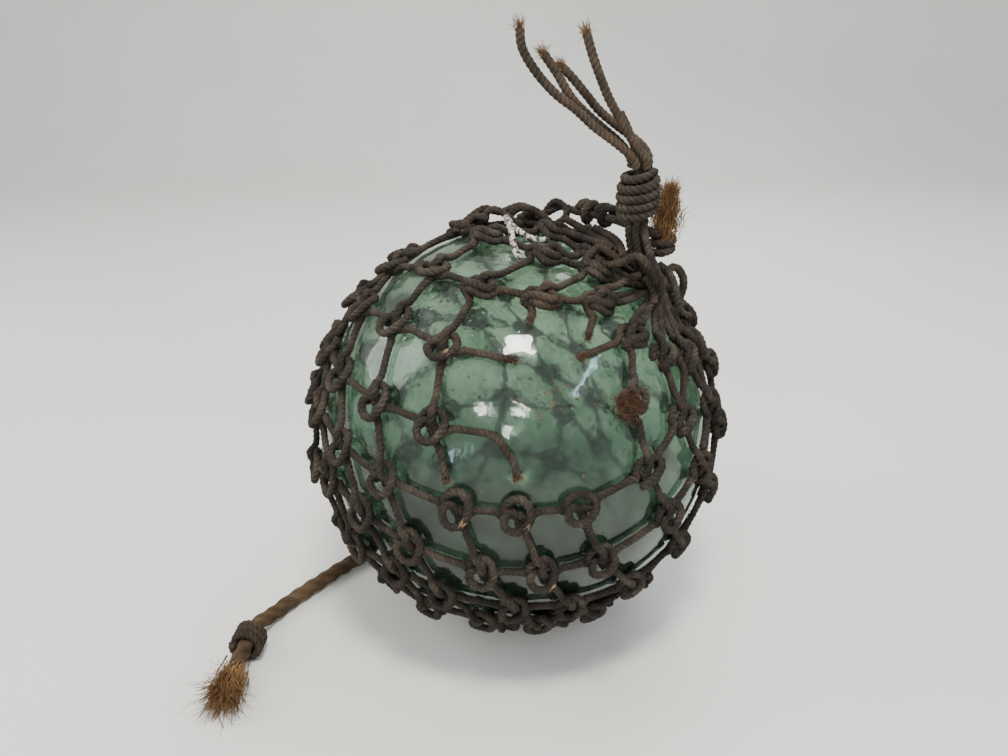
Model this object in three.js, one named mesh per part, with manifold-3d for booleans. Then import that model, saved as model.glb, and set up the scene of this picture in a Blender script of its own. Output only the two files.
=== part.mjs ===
// A blown glass float in its hand-tied net, with the net's gathered neck, rope tails and lanyard.
// Millimetres, +Z up. The ball rests on the net's underside at z = 0, and the photographed side faces -Y.
import * as THREE from "three";
import { mergeVertices } from "three/addons/utils/BufferGeometryUtils.js";
import Module from "manifold-3d";

const wasm = await Module();
wasm.setup();

// Driving dimensions
const BALL_DIAMETER = 305;
const CORD_DIAMETER = 6.5;
const ROPE_DIAMETER = 13;
const CLEARANCE = 0.3;
const PRESSED_NET = 7.5; // net pressed flat between the glass and the surface it rests on
const KNOT_DIAMETER = 24;
const KNOT_HEIGHT = 13;
const KNOT_RING_DIAMETER = 17; // at the ridge of the ring
const KNOT_DISH = 5; // depth of the hole in a knot's ring
const MESHES_ROUND = 11;
const NET_LEAN = 40.4; // degrees between the net's axis and the upright
const NET_HEADING = -23.8; // degrees from +X towards +Y in which the net leans
const NECK_CORDS = 6; // cords round the middle one in the neck
const NECK_HEIGHT = 83; // from the net to the top of the whipping
const NECK_SWAY = 18; // how far the neck leans back over the ball
const WHIPPING_TURNS = 5;
const LASHING_TURNS = 2;
const BINDING_TURNS = 3;
const STUB_LENGTH = 54; // frayed end of thick rope beside the neck
const LASHED_WIDTH = 0.55; // of that end under its lashing, as a share of the rope's width
const FRAYED_WIDTH = 25; // the lanyard's loose end

const ballRadius = BALL_DIAMETER / 2;
const cordRadius = CORD_DIAMETER / 2;
const ropeRadius = ROPE_DIAMETER / 2;
const knotRadius = KNOT_DIAMETER / 2;
const ridgeRadius = KNOT_RING_DIAMETER / 2;
const neckRadius = 1.5 * CORD_DIAMETER;
const whippingHeight = WHIPPING_TURNS * CORD_DIAMETER;
const ballCentre = new THREE.Vector3(0, 0, ballRadius + PRESSED_NET);
const seatRadius = Math.hypot(ballRadius + CLEARANCE, 1.25 * knotRadius); // flat knots and straight cords clear the glass
const radians = THREE.MathUtils.degToRad;

const glass = new THREE.MeshStandardMaterial({ color: 0x6f9a86, roughness: 0.08, metalness: 0 });
const tarredCord = new THREE.MeshStandardMaterial({ color: 0x43392f, roughness: 0.85, metalness: 0 });
const brownRope = new THREE.MeshStandardMaterial({ color: 0x6b5238, roughness: 0.9, metalness: 0 });
const frayedFibre = new THREE.MeshStandardMaterial({ color: 0x8a5a34, roughness: 0.95, metalness: 0 });

// Net axis and the two directions that its azimuths are counted from, the first of them facing the front
const axis = new THREE.Vector3(
  Math.sin(radians(NET_LEAN)) * Math.cos(radians(NET_HEADING)),
  Math.sin(radians(NET_LEAN)) * Math.sin(radians(NET_HEADING)),
  Math.cos(radians(NET_LEAN)),
);
const front = new THREE.Vector3(0, -1, 0);
front.addScaledVector(axis, -front.dot(axis)).normalize();
const side = new THREE.Vector3().crossVectors(axis, front);

function point(x, y, z) {
  return new THREE.Vector3(x, y, z);
}

// A place or a way given for the usual ball, as it is at this ball's size
const usualBall = 305;
const ballScale = BALL_DIAMETER / usualBall;

function place(x, y, z) {
  return point(x, y, z).multiplyScalar(ballScale);
}

// Solids of the joining library, made from closed three.js geometry
function toSolid(geometry) {
  const bare = geometry.clone();
  bare.deleteAttribute("normal");
  bare.deleteAttribute("uv");
  const merged = mergeVertices(bare, 1e-4);
  const mesh = new wasm.Mesh({
    numProp: 3,
    vertProperties: merged.attributes.position.array,
    triVerts: new Uint32Array(merged.index.array),
  });
  return new wasm.Manifold(mesh);
}

function toGeometry(solid) {
  const mesh = solid.getMesh();
  const geometry = new THREE.BufferGeometry();
  geometry.setAttribute("position", new THREE.BufferAttribute(new Float32Array(mesh.vertProperties), 3));
  geometry.setIndex(new THREE.BufferAttribute(new Uint32Array(mesh.triVerts), 1));
  const faceted = geometry.toNonIndexed();
  faceted.computeVertexNormals();
  return faceted;
}

// A skin collects shared points and faces until the body it describes is closed
class Skin {
  points = [];
  faces = [];

  add(p) {
    this.points.push(p.x, p.y, p.z);
    return this.points.length / 3 - 1;
  }

  // Faces between two rings that turn right-handed about the way from the first to the second
  bridge(from, to) {
    from.forEach((start, k) => {
      const next = (k + 1) % from.length;
      this.faces.push(start, from[next], to[next], start, to[next], to[k]);
    });
  }

  cap(ring) {
    for (let k = 1; k < ring.length - 1; k += 1) {
      this.faces.push(ring[0], ring[k], ring[k + 1]);
    }
  }

  geometry() {
    const geometry = new THREE.BufferGeometry();
    geometry.setAttribute("position", new THREE.Float32BufferAttribute(this.points, 3));
    geometry.setIndex(this.faces);
    return geometry;
  }
}

// A closed body through rings of points
function loft(rings) {
  const skin = new Skin();
  const rows = rings.map((ring) => ring.map((p) => skin.add(p)));
  rows.slice(1).forEach((row, k) => skin.bridge(rows[k], row));
  skin.cap([...rows[0]].reverse());
  skin.cap(rows[rows.length - 1]);
  return skin.geometry();
}

// A tube of one round section along chosen points
function tube(points, radius, sides, steps) {
  const section = new THREE.Shape();
  for (let k = 0; k < sides; k += 1) {
    const turn = (2 * Math.PI * k) / sides;
    const draw = k === 0 ? "moveTo" : "lineTo";
    section[draw](radius * Math.cos(turn), radius * Math.sin(turn));
  }
  const extrudePath = new THREE.CatmullRomCurve3(points, false, "centripetal");
  return new THREE.ExtrudeGeometry(section, { steps, extrudePath });
}

// Cord wound in touching turns, as a sleeve round an upright bore
function woundSleeve(coreRadius, cordThickness, turns, height, sides) {
  const pitch = height / turns;
  const boreRadius = (coreRadius + CLEARANCE) / Math.cos(Math.PI / sides);
  const profile = [new THREE.Vector2(boreRadius, 0)];
  for (let turn = 0; turn < turns; turn += 1) {
    for (const share of [0.12, 0.5, 0.88]) {
      const bulge = cordThickness * (0.62 + 0.38 * Math.sin(Math.PI * share));
      profile.push(new THREE.Vector2(boreRadius + bulge, (turn + share) * pitch));
    }
  }
  profile.push(new THREE.Vector2(boreRadius, height));
  profile.push(profile[0].clone());
  return new THREE.LatheGeometry(profile, sides).rotateX(Math.PI / 2);
}

// The net's lattice. Knot (a, b) lies in row a - b, and both numbers grow towards the right of the front.
const FIRST_ROW = -3;
const LAST_ROW_IN_VIEW = 6;
const LOWER_ROW_STEPS = [0.21, 0.29, 0.31]; // radians between the rows past the last one in view
const LAST_ROW = LAST_ROW_IN_VIEW + LOWER_ROW_STEPS.length;
const UNDERSIDE_TWIST = 0.049; // radians a row, so that the ball rests on four knots of one mesh

function polarAngle(row) {
  const seen = Math.min(row, LAST_ROW_IN_VIEW);
  let angle = 1.025 + 0.208 * seen - 0.0096 * seen * seen;
  for (let k = 0; k < row - LAST_ROW_IN_VIEW; k += 1) {
    angle += LOWER_ROW_STEPS[k];
  }
  return angle;
}

// Knots that were tied a little out of line, in millimetres to the right and up as the front shows them
const TIED_ASIDE = {
  "0,3": [-5, 3],
  "0,2": [-2, 4],
  "0,0": [4, -5],
  "0,-1": [-10, -7],
  "1,0": [3, 3],
  "3,3": [-6, -2],
  "3,1": [8, -2],
  "3,-2": [-5, 4],
  "4,4": [0, 5],
  "4,3": [-8, 2],
  "4,1": [6, -3],
  "5,1": [5, 0],
  "5,0": [-4, -4],
  "5,-1": [-2, -6],
  "2,5": [3, 1],
  "3,6": [5, 3],
  "-1,1": [8, 3],
  "-1,2": [7, 14],
};

// Unit direction from the ball's centre to a knot
function knotDirection(a, b) {
  const row = a - b;
  const straight = polarAngle(row);
  const twist = UNDERSIDE_TWIST * Math.max(0, row - LAST_ROW_IN_VIEW);
  const round = -1.4925 + ((a + b) * Math.PI) / MESHES_ROUND + 0.0176 * row + twist;
  const polar = straight + (0.0136 * Math.cos(round) + 0.0063 * Math.sin(round)) * Math.sin(straight);
  const azimuth = round - 0.0215 * Math.cos(round) - 0.0706 * Math.sin(round);
  const direction = axis.clone().multiplyScalar(Math.cos(polar));
  direction.addScaledVector(front, Math.sin(polar) * Math.cos(azimuth));
  direction.addScaledVector(side, Math.sin(polar) * Math.sin(azimuth));
  const [right, up] = TIED_ASIDE[knotName(a, b)] ?? [0, 0];
  const moved = direction.multiplyScalar(seatRadius).add(place(right, 0.42 * up, 0.91 * up));
  return moved.normalize();
}

// One name for a knot, whichever way round the ball its numbers were reached
function knotName(a, b) {
  let [p, q] = [a, b];
  while (p + q < 5 - MESHES_ROUND) {
    p += MESHES_ROUND;
    q += MESHES_ROUND;
  }
  while (p + q >= 5 + MESHES_ROUND) {
    p -= MESHES_ROUND;
    q -= MESHES_ROUND;
  }
  return `${p},${q}`;
}

// What is torn out of the front of the net
const LOST_KNOTS = new Set(["1,2", "1,3", "2,2", "2,3"]);
const CUT_SIDES = new Set(["2,4>2,5"]);
// Loose ends at the torn place: the knot each hangs from, the lost neighbour it points to and its share of that way
const LOOSE_ENDS = [
  { from: [1, 1], to: [1, 2], share: 1 },
  { from: [0, 2], to: [1, 2], share: 0.34 },
  { from: [0, 3], to: [1, 3], share: 0.62 },
  { from: [1, 4], to: [1, 3], share: 0.95 },
  { from: [2, 1], to: [2, 2], share: 1 },
  { from: [2, 1], to: [3, 1], share: 0.62 },
];

const SHOULDER = 0.94; // width of a knot at a cord's height, as a share of its width on the glass
const halfPort = Math.asin(cordRadius / knotRadius); // half the angle that a cord takes of its knot's rim

// A knot is a dished ring with a port for each cord. Its rim points run anticlockwise seen from outside.
function addKnot(skin, centre, targets) {
  const across = new THREE.Vector3().crossVectors(axis, centre).normalize();
  const along = new THREE.Vector3().crossVectors(centre, across);
  const bearing = (target) => Math.atan2(target.dot(along), target.dot(across));
  const ports = targets.map((target) => ({ ...target, angle: bearing(target.direction) }));
  ports.sort((p, q) => p.angle - q.angle);
  const sides = [];
  ports.forEach((port, k) => {
    sides.push(port);
    const next = ports[(k + 1) % ports.length];
    const gap = (next.angle - port.angle + 2 * Math.PI) % (2 * Math.PI) || 2 * Math.PI;
    const blanks = Math.max(0, Math.round(gap / radians(100)) - 1);
    for (let n = 1; n <= blanks; n += 1) {
      sides.push({ key: null, angle: port.angle + (gap * n) / (blanks + 1) });
    }
  });
  const rimPoint = (angle, radius, distance) => {
    const p = centre.clone().multiplyScalar(seatRadius);
    p.addScaledVector(across, radius * Math.cos(angle)).addScaledVector(along, radius * Math.sin(angle));
    return skin.add(p.normalize().multiplyScalar(distance).add(ballCentre));
  };
  // Each side has two corners at the foot and two at the shoulder, and one point of the ridge before them
  const foot = [];
  const shoulder = [];
  const ridge = sides.map(({ angle }, k) => {
    const before = sides[(k + sides.length - 1) % sides.length].angle;
    const gap = (angle - before + 2 * Math.PI) % (2 * Math.PI) || 2 * Math.PI;
    for (const turn of [angle - halfPort, angle + halfPort]) {
      foot.push(rimPoint(turn, knotRadius, seatRadius));
      shoulder.push(rimPoint(turn, SHOULDER * knotRadius, seatRadius + CORD_DIAMETER));
    }
    return rimPoint(angle - gap / 2, ridgeRadius, seatRadius + KNOT_HEIGHT);
  });
  const hole = skin.add(centre.clone().multiplyScalar(seatRadius + KNOT_HEIGHT - KNOT_DISH).add(ballCentre));
  skin.cap([...foot].reverse());
  const rings = {};
  sides.forEach(({ key }, k) => {
    const next = (k + 1) % sides.length;
    const [left, right, beyond] = [2 * k, 2 * k + 1, 2 * next];
    skin.faces.push(ridge[k], ridge[next], hole);
    skin.faces.push(shoulder[left], shoulder[right], ridge[next], shoulder[left], ridge[next], ridge[k]);
    skin.faces.push(shoulder[right], shoulder[beyond], ridge[next]);
    skin.faces.push(foot[right], foot[beyond], shoulder[beyond], foot[right], shoulder[beyond], shoulder[right]);
    if (key === null) {
      skin.faces.push(foot[left], foot[right], shoulder[right], foot[left], shoulder[right], shoulder[left]);
    } else {
      rings[key] = [foot[left], foot[right], shoulder[right], shoulder[left]];
    }
  });
  return rings;
}

// A cord's four-cornered section lying on the glass, at a direction from the ball's centre and a heading
function cordSection(skin, direction, heading, lift = 0) {
  const left = new THREE.Vector3().crossVectors(direction, heading).normalize();
  const base = direction.clone().multiplyScalar(seatRadius + lift);
  const crown = direction.clone().multiplyScalar(seatRadius + lift + CORD_DIAMETER);
  const corners = [
    base.clone().addScaledVector(left, -cordRadius),
    base.clone().addScaledVector(left, cordRadius),
    crown.clone().addScaledVector(left, 0.65 * cordRadius),
    crown.clone().addScaledVector(left, -0.65 * cordRadius),
  ];
  return corners.map((corner) => skin.add(corner.add(ballCentre)));
}

function between(from, to, share) {
  return from.clone().lerp(to, share).normalize();
}

// The neck rises from the net's upper pole and leans back until it is upright over the ball
const neckFoot = axis.clone().multiplyScalar(seatRadius + 2 * CORD_DIAMETER).add(ballCentre);

function onNeck(sway, rise) {
  return neckFoot.clone().add(point(-sway * NECK_SWAY, 0, rise * NECK_HEIGHT));
}

const neckPath = [onNeck(0, 0), onNeck(0.58, 0.2), onNeck(0.92, 0.4), onNeck(1, 0.53), onNeck(1, 0.76), onNeck(1, 1)];
const neckCurve = new THREE.CatmullRomCurve3(neckPath, false, "centripetal");
const neckTop = onNeck(1, 1);
const crownFoot = axis.clone().negate();

// Five cords come out of the neck's top, side by side in a ring
function tailSeat(seat, above) {
  const turn = ((0.25 + seat) * 2 * Math.PI) / 5;
  const reach = (cordRadius + 0.7 * CLEARANCE) / Math.sin(Math.PI / 5);
  return neckTop.clone().add(point(reach * Math.cos(turn), reach * Math.sin(turn), above));
}

// The knotted mesh itself: knots and the cords between them as one skin
function meshSkin() {
  const skin = new Skin();
  const knots = new Map();
  for (let row = FIRST_ROW; row <= LAST_ROW; row += 1) {
    for (let column = 0; column < MESHES_ROUND; column += 1) {
      const a = Math.ceil(row / 2) + column;
      const name = knotName(a, a - row);
      if (!LOST_KNOTS.has(name)) {
        knots.set(name, { a, b: a - row, row, centre: knotDirection(a, a - row) });
      }
    }
  }
  const cords = [];
  for (const [name, knot] of knots) {
    const { a, b, row, centre } = knot;
    knot.targets = [];
    const ends = [[a + 1, b], [a, b - 1], [a - 1, b], [a, b + 1]];
    for (const [p, q] of ends) {
      const other = knotName(p, q);
      const lost = !knots.has(other) || CUT_SIDES.has(`${name}>${other}`) || CUT_SIDES.has(`${other}>${name}`);
      const torn = other === "3,1" && name === "2,1" || other === "2,1" && name === "3,1";
      const beyond = p - q < FIRST_ROW || p - q > LAST_ROW;
      if (!lost && !torn) {
        knot.targets.push({ key: other, direction: knotDirection(p, q).sub(centre) });
        if (p - q > row) {
          cords.push([name, other]);
        }
      } else if (!beyond) {
        const loose = LOOSE_ENDS.find((end) => knotName(...end.from) === name && knotName(...end.to) === other);
        if (loose) {
          knot.targets.push({ key: `loose ${other}`, direction: knotDirection(p, q).sub(centre), loose });
        }
      }
    }
    if (row === FIRST_ROW) {
      knot.targets.push({ key: "neck", direction: axis.clone().sub(centre) });
    }
    if (row === LAST_ROW) {
      knot.targets.push({ key: "crown", direction: axis.clone().negate().sub(centre) });
    }
  }
  for (const knot of knots.values()) {
    knot.rings = addKnot(skin, knot.centre, knot.targets);
  }
  // A cord runs straight from knot to knot unless it is so long that it has to bend over the glass
  for (const [name, other] of cords) {
    const [start, end] = [knots.get(name), knots.get(other)];
    const heading = end.centre.clone().sub(start.centre);
    const half = 0.5 * heading.length() * seatRadius - knotRadius;
    const [footLeft, footRight, ridgeRight, ridgeLeft] = end.rings[name];
    let from = start.rings[other];
    if (Math.sqrt(seatRadius ** 2 - half ** 2) < ballRadius + CLEARANCE / 2) {
      const middle = cordSection(skin, between(start.centre, end.centre, 0.5), heading);
      skin.bridge(from, middle);
      from = middle;
    }
    skin.bridge(from, [footRight, footLeft, ridgeLeft, ridgeRight]);
  }
  for (const knot of knots.values()) {
    for (const { key, direction, loose } of knot.targets) {
      if (loose) {
        const tip = knotDirection(...loose.to);
        const middle = cordSection(skin, between(knot.centre, tip, 0.5 * (loose.share + 0.2)), direction);
        const end = cordSection(skin, between(knot.centre, tip, loose.share), direction);
        skin.bridge(knot.rings[key], middle);
        skin.bridge(middle, end);
        skin.cap(end);
      }
      if (key === "neck" || key === "crown") {
        const pole = key === "neck" ? axis : axis.clone().negate();
        const rise = key === "neck" ? 0.6 * CORD_DIAMETER : 0.15 * CORD_DIAMETER;
        const middle = cordSection(skin, between(knot.centre, pole, 0.5), direction, 0.15 * CORD_DIAMETER);
        const end = cordSection(skin, between(knot.centre, pole, 0.82), direction, rise);
        skin.bridge(knot.rings[key], middle);
        skin.bridge(middle, end);
        skin.cap(end);
      }
    }
  }
  return skin.geometry();
}

// A round knob on the net's axis, turned from a profile of radius and height above the glass in cord diameters
function knob(direction, profile, sides) {
  const outline = profile.map(([radius, height]) => new THREE.Vector2(radius, height).multiplyScalar(CORD_DIAMETER));
  const turned = new THREE.LatheGeometry(outline, sides).rotateX(Math.PI / 2);
  const turn = new THREE.Quaternion().setFromUnitVectors(point(0, 0, 1), direction);
  const foot = direction.clone().multiplyScalar(ballRadius + CLEARANCE).add(ballCentre);
  return turned.applyQuaternion(turn).translate(foot.x, foot.y, foot.z);
}

// Cords side by side round a middle one, as one body with a groove between each two
function neckBundle(radius) {
  const section = new THREE.Shape();
  const corners = 3 * NECK_CORDS;
  for (let k = 0; k < corners; k += 1) {
    const turn = (2 * Math.PI * k) / corners;
    const reach = k % 3 === 0 ? radius - 0.3 * cordRadius : radius;
    const draw = k === 0 ? "moveTo" : "lineTo";
    section[draw](reach * Math.cos(turn), reach * Math.sin(turn));
  }
  return new THREE.ExtrudeGeometry(section, { steps: 6, extrudePath: neckCurve });
}

function lump(centre, radius) {
  return new THREE.SphereGeometry(radius, 8, 5).translate(centre.x, centre.y, centre.z);
}

const CROWN_RISE = 1.3; // in cord diameters

function netting() {
  const gather = [[0, 0.1], [2, 0.1], [2.6, 0.8], [2.2, 1.8], [0, 2.6]];
  const crown = [[0, 0.1], [2.6, 0.1], [2.9, 0.6], [2.3, CROWN_RISE], [0, CROWN_RISE]];
  // A drawn cord leaves the neck below the whipping, is knotted, and lies in loops along the crest of the net
  const drawn = [
    neckTop.clone().add(point(-cordRadius, cordRadius, -whippingHeight - 1.2 * CORD_DIAMETER)),
    place(68, -18, 329),
    place(60, 4, 326),
    place(46, 20, 325),
    place(34, 28, 327),
    place(20, 30, 321),
    place(4, 31, 327),
    place(-12, 31, 322),
    place(-24, 30, 325),
    place(-38, 27, 316),
  ];
  const overhand = [lump(place(66, -3, 327), 1.25 * CORD_DIAMETER), lump(place(54, 11, 325), 1.3 * CORD_DIAMETER)];
  // A slack bight stands off the net to the right of the neck
  const bight = [place(99, -38, 292), place(110, -37, 299), place(117, -36, 292), place(117, -36, 281), place(112, -37, 269)];
  const shortEnd = [
    tailSeat(1, -cordRadius),
    tailSeat(1, 0.6 * CORD_DIAMETER),
    neckTop.clone().add(place(-3, 14, 13)),
    neckTop.clone().add(place(-8, 17, 24)),
    neckTop.clone().add(place(-13, 18, 33)),
  ];
  const added = [
    knob(axis, gather, 12),
    knob(crownFoot, crown, 12),
    neckBundle(neckRadius),
    tube(drawn, cordRadius, 5, 16),
    ...overhand,
    tube(bight, cordRadius, 5, 6),
    tube(shortEnd, cordRadius, 6, 4),
  ];
  const whole = added.reduce((sum, piece) => sum.add(toSolid(piece)), toSolid(meshSkin()));
  const reach = 2 * ballRadius;
  const ground = new THREE.BoxGeometry(reach, reach, ballRadius).translate(0, 0, -ballRadius / 2);
  return whole.subtract(toSolid(ground));
}

// The whipping: turns of cord round the top of the neck
function whipping() {
  const sleeve = woundSleeve(neckRadius, CORD_DIAMETER, WHIPPING_TURNS, whippingHeight, 12);
  return sleeve.translate(neckTop.x, neckTop.y, neckTop.z - whippingHeight);
}

// A brush of loose fibres: rings of half-widths across and upright at points along it
function brush(stations, sides) {
  const rings = stations.map(({ at, heading, across, upright }) => {
    const left = point(-heading.y, heading.x, 0).normalize();
    const up = new THREE.Vector3().crossVectors(heading, left).normalize();
    return Array.from({ length: sides }, (unused, k) => {
      const turn = (2 * Math.PI * k) / sides;
      const p = at.clone().addScaledVector(left, across * Math.cos(turn));
      return p.addScaledVector(up, upright * Math.sin(turn));
    });
  });
  return loft(rings);
}

// The frayed end of thick rope beside the neck, drawn thin by its lashing and standing slightly outwards
const stubFoot = neckFoot.clone().add(place(2.4, 15.6, 18.4));
const stubHeading = point(0.09, 0.06, 1).normalize();

function onStub(distance) {
  return stubFoot.clone().addScaledVector(stubHeading, distance);
}

function stubBrush() {
  const widths = [[0, LASHED_WIDTH], [0.27, LASHED_WIDTH], [0.36, 1], [0.5, 1.12], [0.65, 1.1], [0.8, 0.85], [1, 0.4]];
  const stations = widths.map(([share, width]) => ({
    at: onStub(share * STUB_LENGTH),
    heading: stubHeading,
    across: ropeRadius * width,
    upright: ropeRadius * width,
  }));
  return brush(stations, 9);
}

// The lashing: turns of cord round the stub, pressed against the side of the neck
function lashing() {
  const foot = onStub(0.02 * STUB_LENGTH);
  const turn = new THREE.Quaternion().setFromUnitVectors(point(0, 0, 1), stubHeading);
  const height = LASHING_TURNS * CORD_DIAMETER;
  const sleeve = woundSleeve(LASHED_WIDTH * ropeRadius, CORD_DIAMETER, LASHING_TURNS, height, 12);
  sleeve.applyQuaternion(turn).translate(foot.x, foot.y, foot.z);
  return toSolid(sleeve).subtract(toSolid(neckBundle(neckRadius + CLEARANCE)));
}

// Rope tails standing up from the whipping: the seat each leaves from, then places beside and above the neck's top
const TAILS = {
  tail_long_front: {
    seat: 3,
    way: [[-6.5, -5, 8.5], [-12, -5, 13], [-20, -5, 19], [-32, -5, 27.5], [-44, -5, 38], [-57, -5, 47.5],
      [-69, -5, 60], [-78, -5, 74], [-80, -5, 86]],
  },
  tail_upright: {
    seat: 4,
    way: [[2, -5, 8], [-4, -5, 15], [-11, -5, 25], [-18, -6, 36], [-24, -7, 46], [-30, -8, 59], [-35, -9, 71],
      [-39, -9, 83]],
  },
  tail_curled_back: {
    seat: 0,
    way: [[5, 2, 8], [1, 2.5, 14], [-8, 4, 21], [-18, 6, 28], [-28, 7, 36], [-36, 8, 45], [-44, 9, 54], [-52, 10, 62]],
  },
  tail_short_back: {
    seat: 2,
    way: [[-8, 2.6, 9], [-14, 2.6, 16], [-25, 2.6, 25], [-36, 2.6, 34], [-47, 2.6, 45], [-56, 3, 59], [-64, 4, 70]],
  },
};

// The lanyard hangs from the crown, lies on the surface and is bound near its loose end
const crownHeight = CROWN_RISE * CORD_DIAMETER;
const lanyardFoot = crownFoot.clone().multiplyScalar(ballRadius + 2 * CLEARANCE + crownHeight).add(ballCentre);
const lyingHeight = ropeRadius + CLEARANCE / 2;
const bindingRadius = (ropeRadius + CLEARANCE) / Math.cos(Math.PI / 12) + CORD_DIAMETER;

// A place on the lanyard, whose middle is at a height above the surface it lies on
function lying(x, y, height) {
  return place(x, y, 0).setZ(height);
}

const BOUND_LENGTH = [[-207.2, -80], [-208.6, -98], [-209.3, -107]].map(([x, y]) => lying(x, y, bindingRadius));
const LANYARD = [
  lanyardFoot,
  lanyardFoot.clone().addScaledVector(crownFoot, 2 * ropeRadius),
  lying(-115, 47, 2.2 * ropeRadius),
  lying(-125, 41.5, 1.4 * ropeRadius),
  lying(-134, 33, lyingHeight + 0.2),
  lying(-143, 24, lyingHeight),
  lying(-156, 9, lyingHeight),
  lying(-166, -4, lyingHeight),
  lying(-175, -15, lyingHeight),
  lying(-189, -34, lyingHeight),
  lying(-198, -49, lyingHeight + 0.5),
  lying(-203.5, -60, 0.7 * bindingRadius),
  lying(-206.4, -71, 0.97 * bindingRadius),
  ...BOUND_LENGTH,
  lying(-210.5, -118, 0.82 * bindingRadius),
  lying(-211.3, -126, 1.4 * ropeRadius),
];

function lanyard() {
  const end = LANYARD[LANYARD.length - 1];
  const heading = end.clone().sub(LANYARD[LANYARD.length - 2]).setZ(0).normalize();
  const widths = [[-0.1, 0.5], [0.3, 0.8], [0.8, 1], [1.3, 0.85], [1.7, 0.3]];
  const stations = widths.map(([share, width]) => ({
    at: end.clone().addScaledVector(heading, share * FRAYED_WIDTH).setZ(0.34 * FRAYED_WIDTH),
    heading,
    across: 0.5 * FRAYED_WIDTH * width,
    upright: 0.33 * FRAYED_WIDTH * Math.min(1, width + 0.2),
  }));
  return toSolid(tube(LANYARD, ropeRadius, 10, 17)).add(toSolid(brush(stations, 10)));
}

function lanyardBinding() {
  const height = BINDING_TURNS * CORD_DIAMETER;
  const middle = BOUND_LENGTH[0].clone().lerp(BOUND_LENGTH[1], 0.5);
  const heading = BOUND_LENGTH[1].clone().sub(BOUND_LENGTH[0]).normalize();
  const turn = new THREE.Quaternion().setFromUnitVectors(point(0, 0, 1), heading);
  const sleeve = woundSleeve(ropeRadius, CORD_DIAMETER, BINDING_TURNS, height, 12);
  return sleeve.translate(0, 0, -height / 2).applyQuaternion(turn).translate(middle.x, middle.y, middle.z);
}

const group = new THREE.Group();

function addMesh(name, geometry, material) {
  const mesh = new THREE.Mesh(geometry, material);
  mesh.name = name;
  group.add(mesh);
  return mesh;
}

addMesh("glass_ball", new THREE.SphereGeometry(ballRadius, 32, 16).rotateX(Math.PI / 2), glass).position.copy(ballCentre);
addMesh("netting", toGeometry(netting()), tarredCord);
addMesh("neck_whipping", whipping(), tarredCord);
addMesh("rope_stub", stubBrush(), frayedFibre);
addMesh("stub_lashing", toGeometry(lashing()), tarredCord);
for (const [name, { seat, way }] of Object.entries(TAILS)) {
  const route = way.map(([x, y, z]) => neckTop.clone().add(place(x, y, z)));
  const start = [tailSeat(seat, CLEARANCE), tailSeat(seat, 0.6 * CORD_DIAMETER)];
  addMesh(name, tube([...start, ...route], cordRadius, 8, 10), tarredCord);
}
addMesh("lanyard", toGeometry(lanyard()), brownRope);
addMesh("lanyard_binding", lanyardBinding(), tarredCord);

// The origin is under the middle of all but the free cords
const looseNames = [...Object.keys(TAILS), "lanyard", "lanyard_binding"];
const bounds = new THREE.Box3();
group.children.filter((mesh) => !looseNames.includes(mesh.name)).forEach((mesh) => bounds.expandByObject(mesh, true));
const origin = bounds.getCenter(point(0, 0, 0)).setZ(bounds.min.z);
group.children.forEach((mesh) => mesh.position.sub(origin));

export default group;
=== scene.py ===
"""Looks of a blown-glass fishing float in its torn, hand-tied net. Lengths in the helpers are millimetres."""

import math

import bpy
import numpy as np
from mathutils import Matrix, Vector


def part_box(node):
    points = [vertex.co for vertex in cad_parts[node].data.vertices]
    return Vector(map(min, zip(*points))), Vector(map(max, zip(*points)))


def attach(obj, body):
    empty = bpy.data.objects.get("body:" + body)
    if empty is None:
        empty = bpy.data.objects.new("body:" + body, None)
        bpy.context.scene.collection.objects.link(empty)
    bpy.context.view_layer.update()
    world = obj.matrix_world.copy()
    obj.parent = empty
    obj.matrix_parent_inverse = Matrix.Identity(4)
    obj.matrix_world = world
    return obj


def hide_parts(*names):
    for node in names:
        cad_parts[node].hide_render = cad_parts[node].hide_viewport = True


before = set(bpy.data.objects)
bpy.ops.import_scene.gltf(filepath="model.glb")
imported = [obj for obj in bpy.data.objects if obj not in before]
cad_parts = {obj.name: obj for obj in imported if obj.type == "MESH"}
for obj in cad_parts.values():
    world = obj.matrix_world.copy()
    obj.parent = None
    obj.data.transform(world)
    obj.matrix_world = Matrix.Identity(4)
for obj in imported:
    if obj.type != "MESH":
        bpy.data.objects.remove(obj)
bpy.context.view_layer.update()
rng = np.random.default_rng(20)

MM = 0.001
BALL_RADIUS = 152.5
WALL = 4.5
CORD_RADIUS = 3.25
ROPE_RADIUS = 6.5
CORD_LAY = 11.0  # length in which a strand goes once round its cord
ROPE_LAY = 44.0
STRANDS = 3
GROOVE = 0.17  # depth of the grooves between strands, as a share of the cord's radius
SIDES = 12  # corners of a cord's section
CAP_WIDTH, CAP_LENGTH = 0.12, 0.25  # of a cord's rounded end, as shares of its section and radius
POINTS_PER_TURN = 14
LIE = CORD_RADIUS + 0.5  # height of a cord's middle above the glass
MESHES_ROUND = 11
FIRST_ROW = -3
LAST_ROW_IN_VIEW = 6
LOWER_ROW_STEPS = (0.21, 0.29, 0.31)
LAST_ROW = LAST_ROW_IN_VIEW + len(LOWER_ROW_STEPS)
UNDERSIDE_TWIST = 0.049
NET_LEAN = math.radians(40.4)
NET_HEADING = math.radians(-23.8)
FLOOR_GAP = 0.1
BALL_CLEARANCE = 7.5  # height of the glass above the surface that the net stands on

low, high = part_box("glass_ball")
BALL = np.array((low + high) / 2) / MM
SHIFT = BALL - np.array([0, 0, BALL_RADIUS + BALL_CLEARANCE])


def unit(v):
    return v / np.linalg.norm(v)


def place(*xyz):
    """A point given from the spot under the ball's centre."""
    return np.array(xyz, float) + SHIFT


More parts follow.
